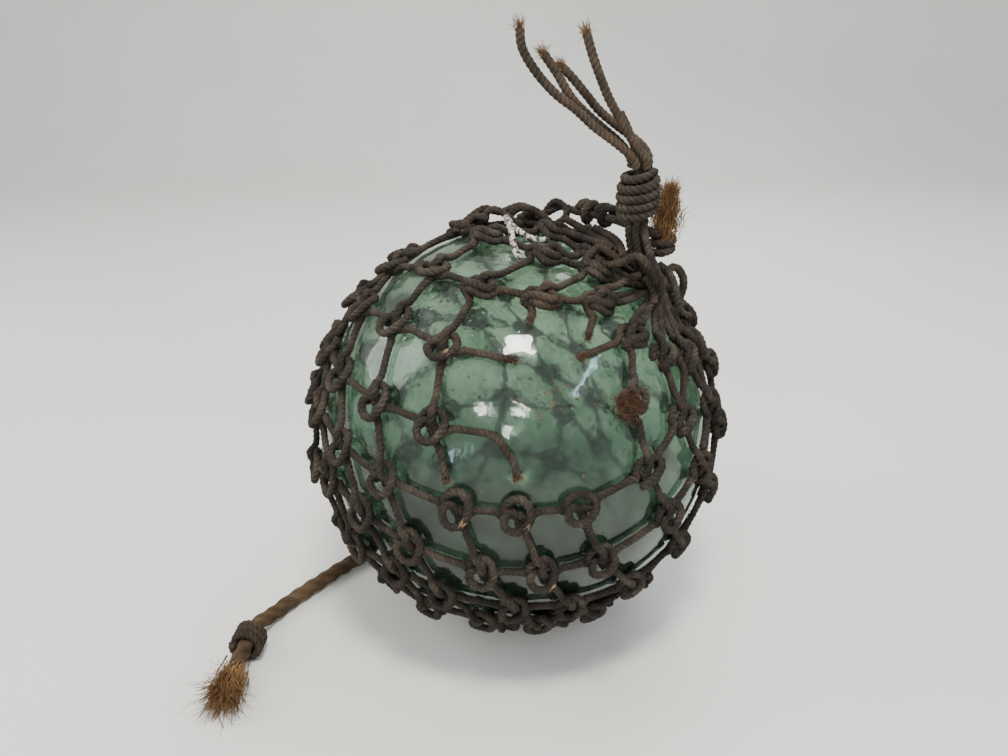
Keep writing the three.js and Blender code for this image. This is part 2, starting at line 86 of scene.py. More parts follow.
def add(name, data):
    """A new object in the scene."""
    thing = bpy.data.objects.new(name, data)
    bpy.context.scene.collection.objects.link(thing)
    return thing


# The camera stands where the photograph was taken from
camera = add("camera", bpy.data.cameras.new("camera"))
camera.location = place(-8.8, -630.4, 486.5) * MM
camera.rotation_euler = (math.radians(65.4), 0, 0)
camera.data.lens = 31.57
camera.data.sensor_width = 36
bpy.context.scene.camera = camera


def linear(red, green, blue):
    """Scene colour of a display colour given in 0 to 255."""
    shares = [value / 255 for value in (red, green, blue)]
    return [s / 12.92 if s < 0.04045 else ((s + 0.055) / 1.055) ** 2.4 for s in shares] + [1.0]


def grey(value):
    return [value, value, value, 1]


BLACK, WHITE = grey(0), grey(1)


class Shader:
    """A procedural material whose nodes are added one by one."""

    def __init__(self, name, roughness):
        self.material = bpy.data.materials.new(name)
        self.material.use_nodes = True
        self.tree = self.material.node_tree
        self.principled = self.tree.nodes["Principled BSDF"]
        self.principled.inputs["Roughness"].default_value = roughness
        self.coordinates = self.tree.nodes.new("ShaderNodeTexCoord")

    def link(self, output, target):
        self.tree.links.new(output, target)

    def fill(self, node, values):
        """Sets or links a node's inputs, given as pairs of socket index and value."""
        for index, value in values:
            if isinstance(value, bpy.types.NodeSocket):
                self.link(value, node.inputs[index])
            else:
                node.inputs[index].default_value = value

    def noise(self, scale, detail, roughness=0.55):
        node = self.tree.nodes.new("ShaderNodeTexNoise")
        node.inputs["Scale"].default_value = scale
        node.inputs["Detail"].default_value = detail
        node.inputs["Roughness"].default_value = roughness
        self.link(self.coordinates.outputs["Object"], node.inputs["Vector"])
        return node.outputs["Fac"]

    def ramp(self, factor, stops):
        node = self.tree.nodes.new("ShaderNodeValToRGB")
        elements = node.color_ramp.elements
        while len(elements) < len(stops):
            elements.new(0.5)
        for element, (position, colour) in zip(elements, stops):
            element.position = position
            element.color = colour
        self.link(factor, node.inputs["Fac"])
        return node.outputs["Color"]

    def mix(self, factor, first, second, blend="MIX"):
        node = self.tree.nodes.new("ShaderNodeMix")
        node.data_type = "RGBA"
        node.blend_type = blend
        # A Mix node's colours are its sockets 6 and 7, and its colour output is 2
        self.fill(node, ((0, factor), (6, first), (7, second)))
        return node.outputs[2]

    def math(self, operation, *values):
        node = self.tree.nodes.new("ShaderNodeMath")
        node.operation = operation
        self.fill(node, enumerate(values))
        return node.outputs[0]

    def attribute(self, name):
        node = self.tree.nodes.new("ShaderNodeAttribute")
        node.attribute_name = name
        return node.outputs["Fac"]

    def bump(self, height, distance, strength=1.0):
        node = self.tree.nodes.new("ShaderNodeBump")
        node.inputs["Distance"].default_value = distance
        node.inputs["Strength"].default_value = strength
        self.link(height, node.inputs["Height"])
        self.link(node.outputs["Normal"], self.principled.inputs["Normal"])

    def coordinate(self, source, axis):
        split = self.tree.nodes.new("ShaderNodeSeparateXYZ")
        self.link(self.coordinates.outputs[source], split.inputs[0])
        return split.outputs[axis]

    def yarns(self, around, along):
        """Fine slanting lines along the strands of a rope, from 0 to 1."""
        turn = self.math("MULTIPLY", self.coordinate("UV", "Y"), around * 2 * math.pi)
        way = self.math("MULTIPLY", self.coordinate("UV", "X"), along * 2 * math.pi)
        wave = self.math("SINE", self.math("ADD", turn, way))
        return self.math("MULTIPLY_ADD", wave, 0.5, 0.5)


def cord_shader(name, dark, middle, pale, worn, around=12, along=4.0, fuzz=900, yarns=0.4, groove_shade=0.5,
                patch_scale=55, patch_stops=(0.3, 0.5, 0.72)):
    """Twisted fibre: tones by noise, worn parts by the mesh's own wear value, painted shade along the yarn lines and
    in the grooves between strands, a painted highlight on the strands' crests, and yarn lines and fuzz as relief.
    """
    shader = Shader(name, 0.86)
    tone = shader.ramp(shader.noise(patch_scale, 7, 0.7), list(zip(patch_stops, (dark, middle, pale))))
    lines = shader.yarns(around, along)
    # Painted shade along the yarn lines
    shade = shader.ramp(lines, [(0.0, grey(0.55)), (0.6, WHITE)])
    tone = shader.mix(yarns, tone, shade, "MULTIPLY")
    # Painted shade in the grooves between strands and a painted highlight on their crests, from the crest attribute;
    # the groove shade value sets how dark the grooves are painted
    crest = shader.ramp(shader.attribute("crest"), [(1 - GROOVE, grey(groove_shade)), (1.0, grey(1.1))])
    tone = shader.mix(1.0, tone, crest, "MULTIPLY")
    patches = shader.ramp(shader.noise(38, 5, 0.6), [(0.35, BLACK), (0.65, WHITE)])
    amount = shader.math("MULTIPLY", shader.attribute("wear"), patches)
    tone = shader.mix(amount, tone, worn)
    specks = shader.ramp(shader.noise(1400, 2, 0.5), [(0.66, BLACK), (0.74, grey(0.6))])
    tone = shader.mix(specks, tone, [c * 1.9 for c in pale[:3]] + [1])
    shader.link(tone, shader.principled.inputs["Base Color"])
    relief = shader.math("ADD", shader.math("MULTIPLY", lines, yarns), shader.noise(fuzz, 3, 0.7))
    shader.bump(relief, 0.0007)
    shader.principled.inputs["Specular IOR Level"].default_value = 0.25
    return shader.material


TARRED = cord_shader(
    "tarred cord", linear(26, 24, 21), linear(50, 45, 39), linear(90, 81, 69), linear(108, 80, 60), groove_shade=0.66
)
TAIL = cord_shader(
    "tail cord", linear(30, 28, 24), linear(58, 52, 45), linear(98, 89, 76), linear(106, 82, 62), groove_shade=0.45
)
ROPE = cord_shader(
    "brown rope", linear(50, 40, 30), linear(82, 66, 48), linear(118, 98, 72), linear(100, 76, 52),
    around=14, along=3.0, fuzz=700,
)
SPLASHED = cord_shader(
    "splashed cord", linear(58, 50, 42), linear(150, 140, 124), linear(246, 242, 232), linear(108, 80, 60),
    patch_scale=240, patch_stops=(0.44, 0.49, 0.53),
)
FRAYED = cord_shader(
    "frayed fibre", linear(74, 54, 34), linear(122, 91, 58), linear(174, 137, 92), linear(92, 64, 42), yarns=0.0
)
TORN = cord_shader(
    "torn fibre", linear(40, 30, 22), linear(74, 54, 39), linear(118, 88, 62), linear(92, 60, 42), yarns=0.0
)
BARE = cord_shader(
    "bare strand", linear(128, 106, 80), linear(176, 152, 120), linear(222, 202, 170), linear(140, 112, 84),
    yarns=0.0,
)


def glass_shader():
    """Green glass with painted shade, lighter near the top and darker towards the bottom, with mottled tone, dark
    specks, swirls and seeds.
    """
    shader = Shader("blown glass", 0.085)
    principled = shader.principled
    principled.inputs["Transmission Weight"].default_value = 0.97
    principled.inputs["IOR"].default_value = 1.46
    # Painted shade: the tint is lightest near the top and darkens towards the bottom
    height = shader.math("MULTIPLY", shader.coordinate("Object", "Z"), 1 / (2 * BALL_RADIUS * MM))
    tint = shader.ramp(
        height,
        [(0.1, [0.10, 0.15, 0.12, 1]), (0.34, [0.22, 0.31, 0.25, 1]), (0.6, [0.41, 0.54, 0.44, 1]),
         (0.85, [0.49, 0.60, 0.50, 1])],
    )
    mottle = shader.ramp(shader.noise(34, 8, 0.7), [(0.4, [0.60, 0.70, 0.63, 1]), (0.56, WHITE)])
    tint = shader.mix(1.0, tint, mottle, "MULTIPLY")
    specks = shader.ramp(shader.noise(260, 2, 0.5), [(0.64, WHITE), (0.7, [0.35, 0.36, 0.3, 1])])
    tint = shader.mix(1.0, tint, specks, "MULTIPLY")
    shader.link(tint, principled.inputs["Base Color"])
    swirl = shader.math("MULTIPLY_ADD", shader.noise(44, 3, 0.5), 0.3, shader.noise(14, 4, 0.5))
    seeds = shader.ramp(shader.noise(330, 2, 0.4), [(0.7, BLACK), (0.78, WHITE)])
    shader.bump(shader.math("MULTIPLY_ADD", seeds, 0.08, swirl), 0.0028, 0.6)
    return shader.material


def grime_shader(name, dark, pale):
    shader = Shader(name, 0.8)
    tone = shader.ramp(shader.noise(160, 5, 0.7), [(0.35, dark), (0.65, pale)])
    shader.link(tone, shader.principled.inputs["Base Color"])
    shader.bump(shader.noise(1100, 4, 0.6), 0.0004)
    return shader.material


GLASS = glass_shader()
GRIME = grime_shader("grime on glass", linear(74, 60, 46), linear(120, 98, 74))
RESIDUE = grime_shader("rusty residue", linear(72, 52, 34), linear(108, 80, 52))


def spline(points, step):
    """A smooth line through points at even steps, and how far along it each step is."""
    points = np.asarray(points, float)
    ends = np.vstack([2 * points[0] - points[1], points, 2 * points[-1] - points[-2]])
    dense = []
    for k in range(1, len(ends) - 2):
        before, start, end, after = ends[k - 1 : k + 3]
        t = np.linspace(0, 1, 24, endpoint=False)[:, None]
        dense.append(
            0.5 * (
                2 * start + (end - before) * t + (2 * before - 5 * start + 4 * end - after) * t ** 2
                + (3 * start - before - 3 * end + after) * t ** 3
            )
        )
    dense = np.vstack(dense + [points[-1:]])
    lengths = np.concatenate([[0], np.cumsum(np.linalg.norm(np.diff(dense, axis=0), axis=1))])
    count = max(3, int(round(lengths[-1] / step)) + 1)
    even = np.linspace(0, lengths[-1], count)
    return np.stack([np.interp(even, lengths, dense[:, axis]) for axis in range(3)], 1), even


def frames(line, normal):
    """Directions across a line that don't turn about it, starting from a chosen normal."""
    tangents = np.gradient(line, axis=0)
    tangents /= np.linalg.norm(tangents, axis=1)[:, None]
    across = np.empty_like(line)
    last = np.asarray(normal, float)
    for k, tangent in enumerate(tangents):
        last = unit(last - tangent * (last @ tangent))
        across[k] = last
    return tangents, across, np.cross(tangents, across)


class Piece:
    """Collects swept cords, fibres and crusts into one mesh."""

    def __init__(self):
        self.points, self.quads, self.uvs, self.wears, self.crests = [], [], [], [], []
        self.count = 0

    def grid(self, rings, along, wear, crest=1.0):
        """Quads between closed rings of points. Along is the distance of each ring, for the material."""
        rows, sides = rings.shape[:2]
        index = self.count + np.arange(rows * sides).reshape(rows, sides)
        beyond = np.roll(index, -1, axis=1)
        quads = np.stack([index[:-1], beyond[:-1], beyond[1:], index[1:]], -1).reshape(-1, 4)
        turn = np.arange(sides) / sides
        low_u = np.repeat(np.asarray(along)[:-1], sides)
        high_u = np.repeat(np.asarray(along)[1:], sides)
        low_v = np.tile(turn, rows - 1)
        high_v = low_v + 1 / sides
        corners = [[low_u, low_v], [low_u, high_v], [high_u, high_v], [high_u, low_v]]
        self.uvs.append(np.stack([np.stack(corner, -1) for corner in corners], 1).reshape(-1, 2))
        self.points.append(rings.reshape(-1, 3))
        self.quads.append(quads)
        self.wears.append(np.broadcast_to(np.asarray(wear, float).reshape(-1, 1), (rows, sides)).reshape(-1))
        self.crests.append(np.broadcast_to(crest, (rows, sides)).reshape(-1))
        self.count += rows * sides

    def sweep(self, points, radius, normal=(0, 0, 1), lay=CORD_LAY, step=1.5, caps=(True, True), end_normal=None,
              wear=0.2, squash=None, thickness=np.ones_like):
        """A laid cord along points. Without caps its end is left open, for another length to go on from."""
        line, along = spline(points, step * radius / CORD_RADIUS)
        tangents, across, other = frames(line, normal)
        total = 2 * math.pi * along[-1] / lay
        if end_normal is not None:
            offset = math.atan2(end_normal @ other[-1], end_normal @ across[-1])
            strand = 2 * math.pi / STRANDS
            total = offset + strand * round((total - offset) / strand)
        phase = total * along / along[-1]
        angles = np.linspace(0, 2 * math.pi, SIDES, endpoint=False)
        around = angles[None, :] + phase[:, None]
        share = 1 - GROOVE * np.sin(STRANDS * angles / 2) ** 2
        wears = wear(line) if callable(wear) else np.full(len(line), wear)
        size = radius * thickness(line)[:, :1, None]
        rings = line[:, None] + size * share[None, :, None] * (
            np.cos(around)[..., None] * across[:, None] + np.sin(around)[..., None] * other[:, None]
        )
        if caps[0]:
            tip = line[0] + (rings[0] - line[0]) * CAP_WIDTH - tangents[0] * radius * CAP_LENGTH
            rings, along, wears = np.vstack([tip[None], rings]), np.append(0, along), np.append(wears[0], wears)
        if caps[1]:
            tip = line[-1] + (rings[-1] - line[-1]) * CAP_WIDTH + tangents[-1] * radius * CAP_LENGTH
            rings, along = np.vstack([rings, tip[None]]), np.append(along, along[-1])
            wears = np.append(wears, wears[-1])
        if squash is not None:
            rings = squash(rings)
        self.grid(rings, along / (2 * radius), wears, share[None, :])
        return line

    def fibres(self, origin, heading, count, length, spread, width=0.22, scatter=2.5, curl=0.35, wear=0.8):
        """Loose fibres that leave a spot, each a thin bent tube of three sides."""
        heading = unit(np.asarray(heading, float))
        for _ in range(count):
            way = unit(heading + rng.normal(0, spread, 3))
            start = np.asarray(origin, float) + rng.normal(0, scatter / 2, 3)
            reach = length * rng.uniform(0.35, 1.05)
            bend = rng.normal(0, curl, 3)
            points = [start]
            for part in range(4):
                way = unit(way + bend * (0.3 + 0.3 * part))
                points.append(points[-1] + way * reach / 4)
            line = np.array(points)
            _, across, other = frames(line, (0.3, 0.5, 0.8))
            size = width * np.linspace(1, 0.3, len(line))
            turns = np.array([0, 2.1, 4.2])
            rings = line[:, None] + size[:, None, None] * (
                np.cos(turns)[None, :, None] * across[:, None] + np.sin(turns)[None, :, None] * other[:, None]
            )
            self.grid(settle(rings), np.linspace(0, 2, len(line)), wear)

    def speck(self, direction, size, height=0.12):
        """A flat crust on the glass, of nine uneven corners."""
        tangent, other = tangents_at(direction)
        angles = np.linspace(0, 2 * math.pi, 9, endpoint=False)
        outline = size * rng.uniform(0.55, 1.1, 9)
        rings = []
        for share, lift in ((1.0, 0.03), (0.8, height), (0.05, height * 1.1)):
            offsets = outline[:, None] * share * (
                np.cos(angles)[:, None] * tangent + 0.6 * np.sin(angles)[:, None] * other
            )
            spots = direction * BALL_RADIUS + offsets
            spots /= np.linalg.norm(spots, axis=1)[:, None]
            rings.append(BALL + spots * (BALL_RADIUS + lift))
        self.grid(np.array(rings), [0, 0.5, 1], 0.5)

    def make(self, name, material, slot, nodes=()):
        """Builds the mesh and ties it to the frame."""
        points = np.concatenate(self.points) * MM
        quads = np.concatenate(self.quads)
        mesh = bpy.data.meshes.new(name)
        mesh.from_pydata(points.tolist(), [], quads.tolist())
        mesh.polygons.foreach_set("use_smooth", np.ones(len(quads), bool))
        layer = mesh.uv_layers.new(name="along_and_around")
        layer.data.foreach_set("uv", np.concatenate(self.uvs).reshape(-1))
        wear = mesh.attributes.new("wear", "FLOAT", "POINT")
        wear.data.foreach_set("value", np.concatenate(self.wears))
        # The crest attribute gives the cord shader its painted shade in the grooves and its painted highlight on the
        # crests
        crest = mesh.attributes.new("crest", "FLOAT", "POINT")
        crest.data.foreach_set("value", np.concatenate(self.crests))
        mesh.materials.append(material)
        mesh.update()
        piece = add(name, mesh)
        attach(piece, "root")
        if nodes:
            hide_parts(*nodes)
        return piece


# The net's lattice: its axis runs from the crown to the neck, its front faces the camera
AXIS = np.array([
    math.sin(NET_LEAN) * math.cos(NET_HEADING), math.sin(NET_LEAN) * math.sin(NET_HEADING), math.cos(NET_LEAN)
])
FRONT = unit(np.array([0, -1, 0]) + AXIS * AXIS[1])
SIDE = np.cross(AXIS, FRONT)
SEAT = math.hypot(BALL_RADIUS + 0.3, 15)  # how far a knot's rim is from the ball's centre
# Knots are named by two numbers, a and b, and lie in row a - b. These are tied out of line, by mm to the right and up
TIED_ASIDE = {
    (0, 3): (-5, 3), (0, 2): (-2, 4), (0, 0): (4, -5), (0, -1): (-10, -7), (1, 0): (3, 3), (3, 3): (-6, -2),
    (3, 1): (8, -2), (3, -2): (-5, 4), (4, 4): (0, 5), (4, 3): (-8, 2), (4, 1): (6, -3), (5, 1): (5, 0),
    (5, 0): (-4, -4), (5, -1): (-2, -6), (2, 5): (3, 1), (3, 6): (5, 3), (-1, 1): (8, 3), (-1, 2): (7, 14),
}
LOST = {(1, 2), (1, 3), (2, 2), (2, 3)}
CUT = {((2, 4), (2, 5)), ((2, 5), (2, 4)), ((2, 1), (3, 1)), ((3, 1), (2, 1))}
# Torn cords that hang loose from their first knot towards the second, and how much of the way they reach
LOOSE = {
    ((1, 1), (1, 2)): 1.0, ((0, 2), (1, 2)): 0.34, ((0, 3), (1, 3)): 0.62,
    ((1, 4), (1, 3)): 0.95, ((2, 1), (2, 2)): 0.85, ((2, 1), (3, 1)): 0.62,
}
TORN_PLACE = unit(place(18, -118, 262) - BALL)


def tangents_at(direction):
    """Two directions across a way out from the ball."""
    reference = AXIS if abs(direction @ AXIS) < 0.99 else FRONT
    across = unit(np.cross(reference, direction))
    return across, np.cross(direction, across)


def polar_angle(row):
    """A row's angle from the net's axis, as read from the photograph down to the last row in view."""
    seen = min(row, LAST_ROW_IN_VIEW)
    lower = LOWER_ROW_STEPS[: max(0, row - LAST_ROW_IN_VIEW)]
    return 1.025 + 0.208 * seen - 0.0096 * seen * seen + sum(lower)


def knot_name(a, b):
    """One name for each knot, because going once round the net leads back to it."""
    while a + b < 5 - MESHES_ROUND:
        a, b = a + MESHES_ROUND, b + MESHES_ROUND
    while a + b >= 5 + MESHES_ROUND:
        a, b = a - MESHES_ROUND, b - MESHES_ROUND
    return a, b


def knot_direction(a, b):
    """Where a knot lies on the ball. The small terms fit the lattice to the photograph's uneven net."""
    row = a - b
    straight = polar_angle(row)
    twist = UNDERSIDE_TWIST * max(0, row - LAST_ROW_IN_VIEW)
    turn = -1.4925 + (a + b) * math.pi / MESHES_ROUND + 0.0176 * row + twist
    polar = straight + (0.0136 * math.cos(turn) + 0.0063 * math.sin(turn)) * math.sin(straight)
    azimuth = turn - 0.0215 * math.cos(turn) - 0.0706 * math.sin(turn)
    level = FRONT * math.cos(azimuth) + SIDE * math.sin(azimuth)
    direction = AXIS * math.cos(polar) + level * math.sin(polar)
    right, up = TIED_ASIDE.get(knot_name(a, b), (0, 0))
    return unit(direction * SEAT + np.array([right, 0.42 * up, 0.91 * up]))


def on_glass(direction, height):
    return BALL + unit(direction) * (BALL_RADIUS + height)


def settle(rings):
    """Keeps cords out of the surface that the net stands on."""
    rings[..., 2] = np.maximum(rings[..., 2], FLOOR_GAP)
    return rings


def wear_at(points):
    """More wear round the torn place."""
    directions = points - BALL
    directions /= np.linalg.norm(directions, axis=1)[:, None]
    return np.clip(0.75 - np.arccos(np.clip(directions @ TORN_PLACE, -1, 1)) / 0.6, 0.05, 0.6)


# The rest of a torn cord, which bends down over the glass
HANGING = {((2, 1), "right"): [place(-8, -148, 216), place(-3, -151, 208.5), place(-0.7, -152.5, 201)]}

# A sheet bend seen from outside, with the neck above: places to the right, up and above the glass. The working cord
# comes from the left, rises behind the bight, crosses before it and leaves downwards.
WORKING_CORD = (
    (-8.4, 0.6, 3.9), (-7.2, 5.4, 4.1), (-1.8, 8.6, 3.9), (4.6, 7.6, 5.0), (8.4, 2.8, 7.6), (6.4, -2.6, 9.8),
    (0.4, -4.4, 10.7), (-5.6, -5.8, 9.2), (-7.6, -8.4, 5.9), (-3.6, -10.4, 3.7),
)
BIGHT = (
    (0.8, 10.6, 9.2), (0.2, 6.4, 9.9), (-1.6, 1.6, 7.0), (-3.4, -3.2, 4.8), (-3.2, -7.2, 6.6), (0.6, -9.4, 8.3),
    (5.4, -7.4, 6.2), (9.0, -4.0, 4.2),
)
# The same bend drawn into an upright ring that stands out below, with the other cord passing over its top
RING_CORD = (
    (-8.6, -2.2, 3.9), (-8.5, 3.6, 4.2), (-5.0, 8.8, 4.2), (0.4, 10.6, 4.2), (5.8, 8.2, 4.6), (8.4, 2.4, 6.4),
    (7.6, -4.0, 9.0), (3.0, -9.6, 10.2), (-2.6, -10.4, 10.3), (-7.2, -6.6, 9.9), (-7.8, -0.6, 8.8),
    (-4.6, 2.0, 5.6), (-1.2, -1.4, 3.9), (0.8, -6.0, 3.8), (1.6, -10.4, 3.8),
)
THROUGH_CORD = (
    (0.3, 10.0, 9.7), (0.2, 4.6, 8.2), (0.6, -0.8, 5.0), (3.8, -3.6, 3.9), (9.0, -2.6, 3.8),
)


DRAWN_THICKNESS = 0.84  # of a cord between its knots, as a share of CORD_RADIUS
KNOT_REACH = 15


class Knot:
    """One knot of the net, and what each of its four cords leads to."""

    def __init__(self, a, b):
        self.name = knot_name(a, b)
        self.row = a - b
        self.centre = knot_direction(a, b)
        self.next = {}
        neighbours = {"down": (a + 1, b), "left": (a, b - 1), "up": (a - 1, b), "right": (a, b + 1)}
        for word, (p, q) in neighbours.items():
            other = knot_name(p, q)
            if p - q < FIRST_ROW:
                self.next[word] = ("neck", AXIS, 1.0)
            elif p - q > LAST_ROW:
                self.next[word] = ("crown", -AXIS, 1.0)
            elif (self.name, other) in LOOSE:
                self.next[word] = ("loose", knot_direction(p, q), LOOSE[self.name, other])
            elif other in LOST or (self.name, other) in CUT:
                self.next[word] = ("gone", knot_direction(p, q), 0.2)
            else:
                self.next[word] = ("joined", knot_direction(p, q), 0.5)
        # Two square directions across the knot that lie nearest to its cords
        away = {word: self.heading(target) for word, (_, target, _) in self.next.items()}
        level = unit(away["right"] - away["left"])
        upright = unit(away["up"] - away["down"])
        between = unit(level + upright)
        askew = unit(level - upright)
        self.right = unit(between + askew)
        self.up = unit(between - askew)
        drawn_tight = 0.82 if self.row < 1 else 1.0
        self.wide = rng.uniform(0.94, 1.06) * (2 - drawn_tight) ** 0.6
        self.tall = rng.uniform(0.94, 1.06) * drawn_tight
        self.turned = rng.normal(0, 0.09)
        self.swelling = rng.normal(0.13, 0.02)

    def thickness(self, line):
        """A drawn cord is thinner between the knots than in them."""
        reach = np.linalg.norm(line - on_glass(self.centre, 6), axis=1)[:, None]
        return DRAWN_THICKNESS + self.swelling * np.exp(-(reach / KNOT_REACH) ** 4)

    def heading(self, target):
        return unit(target - self.centre * (target @ self.centre))

    def local(self, x, y, z):
        """A point beside the knot's middle and above the glass."""
        x, y = x * self.wide, y * self.tall
        cosine, sine = math.cos(self.turned), math.sin(self.turned)
        x, y = x * cosine - y * sine, x * sine + y * cosine
        return on_glass(self.centre * (BALL_RADIUS + 3) + self.right * x + self.up * y, z)

    def lead(self, word):
        """Points from the knot out along one of its cords, and the normal where the cord ends."""
        kind, target, share = self.next[word]
        if kind == "gone":
            return [], None
        away = self.heading(target)
        out = [
            on_glass(self.centre * BALL_RADIUS + away * 13, 6 if word == "up" else LIE),
            on_glass(self.centre * BALL_RADIUS + away * 18, LIE),
        ]
        if kind == "joined":
            end = unit(self.centre + target)
            return [*out, on_glass(end, LIE)], end
        if kind == "loose":
            end = unit(self.centre * (1 - share) + target * share)
            return [*out, on_glass(end, LIE + 1), *HANGING.get((self.name, word), [])], end
        return out, None


def knot_rows():
    for row in range(FIRST_ROW, LAST_ROW + 1):
        for column in range(MESHES_ROUND):
            a = math.ceil(row / 2) + column
            if knot_name(a, a - row) not in LOST:
                yield Knot(a, a - row)


KNOTS = list(knot_rows())
NECK_FOOT = AXIS * (SEAT + 13) + BALL


def on_neck(sway, rise):
    """A point of the neck's middle line, by shares of its sway to the left and of its height."""
    return NECK_FOOT + np.array([-18 * sway, 0, 83 * rise])


NECK_PATH = [on_neck(*shares) for shares in ((0, 0), (0.58, 0.2), (0.92, 0.4), (1, 0.53), (1, 0.76), (1, 1))]
NECK_TOP = on_neck(1, 1)


def pole_cord(knot, word):
    """The rest of a cord that the first or last row sends to a pole of the net."""
    kind, pole, _ = knot.next[word]
    away = knot.heading(pole)
    angle = math.acos(np.clip(knot.centre @ pole, -1, 1))
    layer = 0 if word in ("up", "left") else 1
    points = []
    shares = (0.3, 0.5, 0.66, 0.78) if kind == "neck" else (0.3, 0.5, 0.66, 0.8, 0.9)
    for share in shares:
        turn = angle * share
        twist = (0.1 if layer else -0.1) * math.sin(math.pi * share)
        way = knot.centre * math.cos(turn) + away * math.sin(turn)
        way = unit(way + np.cross(pole, way) * twist)
        rise = (2 + 5 * layer) * share ** 2 + (7 * max(0, share - 0.5) if kind == "neck" else 2 * layer)
        points.append(on_glass(way, LIE + rise))
    if kind == "neck":
        inward = unit(points[-1] - (BALL + AXIS * ((points[-1] - BALL) @ AXIS)))
        points.append(NECK_FOOT + inward * (7 + layer) + AXIS * -2)
        points.append(on_neck(0.4, 0.13) + inward * 5)
    return points


def tie(piece, knot):
    """Both cords of a knot, tied in a sheet bend that the lower rows draw into a ring."""
    wobble = rng.normal(0, 0.3, (len(RING_CORD), 3))
    ways = (WORKING_CORD, BIGHT) if knot.row < 0 else (RING_CORD, THROUGH_CORD)
    ring, bight = ([knot.local(*(np.array(p) + w)) for p, w in zip(way, wobble)] for way in ways)
    if knot.next["up"][0] == "gone":
        # The length over the ring's top is torn off, and the rest ends inside the ring
        bight = bight[2:]
    for words, middle in ((("left", "down"), ring), (("up", "right"), bight)):
        points, caps, normals = list(middle), [], []
        for word, first in zip(words, (True, False)):
            kind = knot.next[word][0]
            lead, normal = knot.lead(word)
            if kind in ("neck", "crown"):
                lead += pole_cord(knot, word)
            points = list(reversed(lead)) + points if first else points + lead
            caps.append(kind != "joined")
            normals.append(normal if kind == "joined" else None)
        start = normals[0] if normals[0] is not None else knot.centre
        piece.sweep(points, CORD_RADIUS, normal=start, end_normal=normals[1], caps=caps, squash=settle,
                    wear=wear_at, thickness=knot.thickness)


# Knots with pale strands that show on the ring, and the one that holds a tangle of fibres
BARE_STRANDS = {(1, 1), (3, 1), (3, 2), (4, 2)}
TANGLED = (2, 4)


def fray_net(tufts, bare):
    """Fibres where cords of the net are torn or worn."""
    for knot in KNOTS:
        for word, (kind, target, share) in knot.next.items():
            away = knot.heading(target)
            if kind == "loose":
                end = unit(knot.centre * (1 - share) + target * share)
                tip, way = on_glass(end, LIE + 1), away
                if (knot.name, word) in HANGING:
                    *_, before, tip = HANGING[knot.name, word]
                    way = unit(tip - before)
                tufts.fibres(tip, way, 60, 6, 0.35, width=0.3)
            if kind == "gone" and word != "up":
                tufts.fibres(on_glass(knot.centre * BALL_RADIUS + away * 9, 6), away, 14, 5, 0.6)
    for knot in KNOTS:
        if knot.name == TANGLED:
            tangle = on_glass(knot.centre * BALL_RADIUS - knot.right * 7, 8)
            tufts.fibres(tangle, knot.centre, 420, 9, 1.1, scatter=8, curl=0.9, width=0.3)
        if knot.name in BARE_STRANDS:
            along_ring = knot.local(3.0, -9.6, 12.6) - knot.local(7.6, -4.0, 11.6)
            bare.fibres(knot.local(6.8, -5.0, 11.4), along_ring, 18, 5, 0.05, width=0.28, scatter=1.6, curl=0.04)


def build_net():
    names = ("net_top", "net_upper", "net_lower", "net_under")
    pieces = [Piece() for _ in names]
    for knot in KNOTS:
        tie(pieces[(knot.row - FIRST_ROW) * len(names) // (LAST_ROW - FIRST_ROW + 1)], knot)
    for piece, name in zip(pieces, names):
        piece.make(name, TARRED, "tarred_cord", ["netting"])
    tufts, bare = Piece(), Piece()
    fray_net(tufts, bare)
    tufts.make("torn_fibres", TORN, "frayed_fibre", ["netting"])
    bare.make("bare_strands", BARE, "frayed_fibre", ["netting"])


def helix(core, radius, turns, pitch, start):
    """Points of turns wound round a core. It gives, for a height, a centre and two directions across."""
    points = []
    for k in range(int(turns * POINTS_PER_TURN) + 1):
        angle = start + 2 * math.pi * k / POINTS_PER_TURN
        centre, normal, binormal = core(k / POINTS_PER_TURN * pitch)
        points.append(centre + radius * (math.cos(angle) * normal + math.sin(angle) * binormal))
    return points


# Slack loops of the drawn cord along the crest of the net, from right to left
CREST_LOOPS = [
    [(18, 34, 311), (23.1, 32, 322.5), (29.5, 28, 330.8), (36.8, 24, 327.6), (37.5, 20, 321.7), (30, 18, 316.2),
     (18.2, 18, 313.5)],
    [(-5.8, 26, 315.6), (-2.8, 24, 323), (4, 22, 327.6), (12.8, 20, 326.8), (21.8, 18, 321), (27.7, 15, 316)],
    [(-27, 27, 314), (-21.6, 25, 323.3), (-16.3, 23, 326.3), (-9.5, 21, 323.8), (-2.8, 17, 319.5), (4.6, 13, 317)],
    [(-42, 24, 309.2), (-36, 24, 316.4), (-29.1, 24, 320.6), (-20.8, 20, 319.5)],
]
